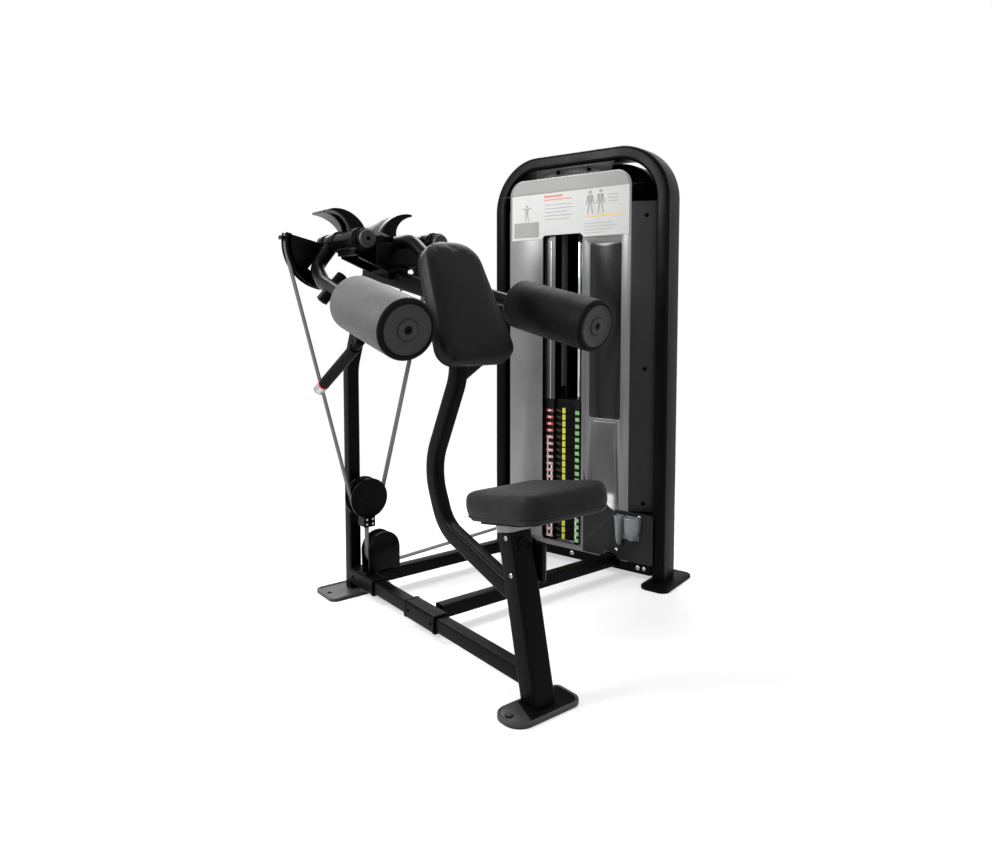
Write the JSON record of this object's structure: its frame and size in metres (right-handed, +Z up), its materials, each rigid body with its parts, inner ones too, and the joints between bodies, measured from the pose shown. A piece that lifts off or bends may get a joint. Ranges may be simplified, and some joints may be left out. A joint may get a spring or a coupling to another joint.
{
  "type": "lateral raise machine",
  "caption": "Seated lateral raise machine with padded arm rollers on two swinging arms, belts, a chest pad, an adjustable seat and a shrouded weight tower.",
  "frame": {"origin": "middle of the machine's box, on the floor", "axes": "+X from the seat towards the weight tower, +Y the way the user faces, +Z up"},
  "size_m": [1.4118, 1.247, 1.563],
  "materials": {
    "black_frame": "satin black powder coat",
    "grey_paint": "satin grey powder coat",
    "grey_shroud": "satin mid grey moulded panel",
    "dark_plastic": "matte dark grey",
    "pale_plastic": "matte pale grey",
    "clear_plastic": "translucent pale plastic",
    "smoked_pane": "glossy smoked acrylic",
    "placard_face": "matte pale grey sheet with a darker band",
    "chrome": "polished chrome plate",
    "bare_steel": "plated steel",
    "cast_plates": "black painted cast iron",
    "vinyl": "black grained vinyl",
    "foam": "dense dark grey foam",
    "grip_rubber": "matte black rubber",
    "foot_rubber": "matte black rubber",
    "belt_cover": "ribbed black urethane belt"
  },
  "bodies": {
    "root": {"tower_hoop": "black_frame", "tower_crossbar": "black_frame", "tower_foot_right": "foot_rubber", "tower_foot_left": "foot_rubber", "front_shroud": "grey_shroud", "smoked_window": "smoked_pane", "info_placard": "placard_face", "lower_cover": "grey_shroud", "accessory_pocket": "clear_plastic", "top_bracket": "black_frame", "rear_shroud": "dark_plastic", "stack_base": "bare_steel", "weight_plates_resting": "cast_plates", "guide_rod_right": "chrome", "guide_rod_left": "chrome", "top_pulley_bracket": "black_frame", "bottom_pulley_bracket": "black_frame", "seat_post": "black_frame", "post_foot": "grey_paint", "post_collar": "pale_plastic", "front_tube": "black_frame", "end_sleeve": "black_frame", "saddle_clamp": "black_frame", "rail_bar": "black_frame", "rail_front": "black_frame", "rail_rear": "black_frame", "spine_tube": "black_frame", "upright": "black_frame", "chest_pad": "vinyl", "chest_pad_board": "black_frame", "head_housing": "black_frame", "lower_pulley_bracket": "black_frame", "drive_belt": "belt_cover", "lift_belt_lower": "belt_cover", "lift_belt_run": "belt_cover", "lift_belt_drop": "belt_cover"},
    "left_arm": {"arm_tube_left": "black_frame", "arm_shaft_left": "chrome", "cam_left": "black_frame", "grip_left": "grip_rubber"},
    "left_roller": {"roller_pad_left": "foam", "roller_cap_left": "dark_plastic"},
    "right_arm": {"arm_tube_right": "black_frame", "arm_shaft_right": "chrome", "cam_right": "black_frame", "grip_right": "grip_rubber"},
    "right_roller": {"roller_pad_right": "foam", "roller_cap_right": "dark_plastic"},
    "floating": {"floating_carrier": "black_frame"},
    "floating_wheel": {"floating_pulley": "dark_plastic"},
    "lower_wheel": {"lower_pulley": "dark_plastic"},
    "tower_low_wheel": {"tower_bottom_pulley": "dark_plastic"},
    "tower_high_wheel": {"tower_top_pulley": "dark_plastic"},
    "stack": {"weight_plates_lifted": "cast_plates", "stack_head": "bare_steel"},
    "pin": {"selector_pin": "chrome"},
    "seat": {"seat_pad": "vinyl", "seat_carriage": "bare_steel"},
    "lever": {"seat_lever": "dark_plastic"},
    "lock_pin": {"seat_lock_pin": "chrome"}
  },
  "joints": [
    {"name": "left_arm_raise", "type": "hinge", "parent": "root", "child": "left_arm", "pos_m": [-0.45792, 0.22622, 1.188], "axis": [0, 1, 0], "range_deg": [0, 80]},
    {"name": "right_arm_raise", "type": "hinge", "parent": "root", "child": "right_arm", "pos_m": [-0.20292, 0.22622, 1.188], "axis": [0, -1, 0], "range_deg": [0, 80]},
    {"name": "floating_pulley_lift", "type": "slide", "parent": "root", "child": "floating", "axis": [0, 0, 1], "range_m": [0, 0.215], "deforming": ["drive_belt", "lift_belt_lower"]},
    {"name": "stack_lift", "type": "slide", "parent": "root", "child": "stack", "axis": [0, 0, 1], "range_m": [0, 0.215], "deforming": ["lift_belt_drop"]},
    {"name": "left_roller_spin", "type": "hinge", "parent": "left_arm", "child": "left_roller", "pos_m": [-0.63292, -0.38928, 0.934], "axis": [0.0859, 0.9752, 0.2041], "continuous": true},
    {"name": "right_roller_spin", "type": "hinge", "parent": "right_arm", "child": "right_roller", "pos_m": [-0.02792, -0.38928, 0.934], "axis": [-0.0859, 0.9752, 0.2041], "continuous": true},
    {"name": "floating_pulley_spin", "type": "hinge", "parent": "floating", "child": "floating_wheel", "pos_m": [-0.33042, 0.39122, 0.348], "axis": [0, 1, 0], "continuous": true},
    {"name": "lower_pulley_spin", "type": "hinge", "parent": "root", "child": "lower_wheel", "pos_m": [-0.27553, 0.39476, 0.16], "axis": [-0.0643, 0.9979, 0], "range_deg": [0, 220]},
    {"name": "tower_bottom_pulley_spin", "type": "hinge", "parent": "root", "child": "tower_low_wheel", "pos_m": [0.48828, 0.44397, 0.18], "axis": [-0.0643, 0.9979, 0], "range_deg": [0, 245]},
    {"name": "tower_top_pulley_spin", "type": "hinge", "parent": "root", "child": "tower_high_wheel", "pos_m": [0.51406, 0.37115, 1.4], "axis": [-0.9532, 0.3023, 0], "range_deg": [0, 155]},
    {"name": "selector_pin_pull", "type": "slide", "parent": "stack", "child": "pin", "axis": [-0.9677, -0.2521, 0], "range_m": [0, 0.06]},
    {"name": "seat_height", "type": "slide", "parent": "root", "child": "seat", "axis": [0, 0.225, 0.9744], "range_m": [0, 0.1]},
    {"name": "seat_lever_pull", "type": "hinge", "parent": "root", "child": "lever", "pos_m": [-0.29612, -0.41713, 0.383], "axis": [-1, 0, 0], "range_deg": [0, 20], "stiffness_Nm_per_rad": 2, "springref_deg": -8.59},
    {"name": "seat_lock_release", "type": "slide", "parent": "root", "child": "lock_pin", "axis": [0, -1, 0], "range_m": [0, 0.0084]}
  ],
  "couplings": [
    {"joint": "right_arm_raise", "follows": "left_arm_raise", "ratio": 1},
    {"joint": "floating_pulley_lift", "follows": "left_arm_raise", "m_per_rad": 0.15},
    {"joint": "stack_lift", "follows": "left_arm_raise", "m_per_rad": 0.15},
    {"joint": "lower_pulley_spin", "follows": "left_arm_raise", "ratio": 2.7273},
    {"joint": "tower_bottom_pulley_spin", "follows": "left_arm_raise", "ratio": 3},
    {"joint": "tower_top_pulley_spin", "follows": "left_arm_raise", "ratio": 1.8805},
    {"joint": "seat_lock_release", "follows": "seat_lever_pull", "m_per_rad": 0.0229}
  ]
}
